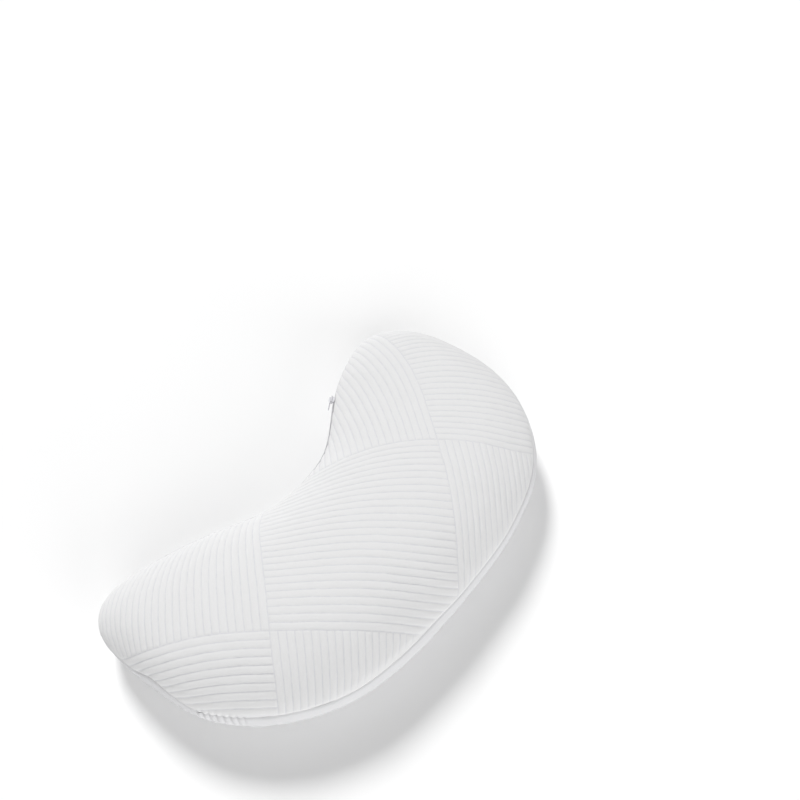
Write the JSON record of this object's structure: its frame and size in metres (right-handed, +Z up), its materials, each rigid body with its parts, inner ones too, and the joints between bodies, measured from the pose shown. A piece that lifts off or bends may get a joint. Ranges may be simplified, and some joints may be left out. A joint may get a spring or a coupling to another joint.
{
  "type": "crescent body pillow",
  "caption": "Crescent body pillow with a domed ribbed top panel, plain base panel, side seam and a zip along the hollow edge.",
  "frame": {"origin": "on the floor, below the middle of the outline's box", "axes": "+X from one arm of the crescent to the other, +Y out of its hollow side, +Z up"},
  "size_m": [0.5648, 0.3385, 0.1171],
  "materials": {
    "plain_knit": "smooth white stretch knit, matt",
    "ribbed_knit": "white quilted knit in soft ribs, squares turned a quarter to each other, matt",
    "zip_coil": "white nylon coil on woven tape",
    "zip_metal": "white enamelled slider",
    "pull_tab": "white moulded tab"
  },
  "bodies": {
    "root": {"plain_base": "plain_knit", "ribbed_top": "ribbed_knit", "zip_chain": "zip_coil", "zip_slider": "zip_metal", "zip_pull": "pull_tab"}
  },
  "joints": []
}
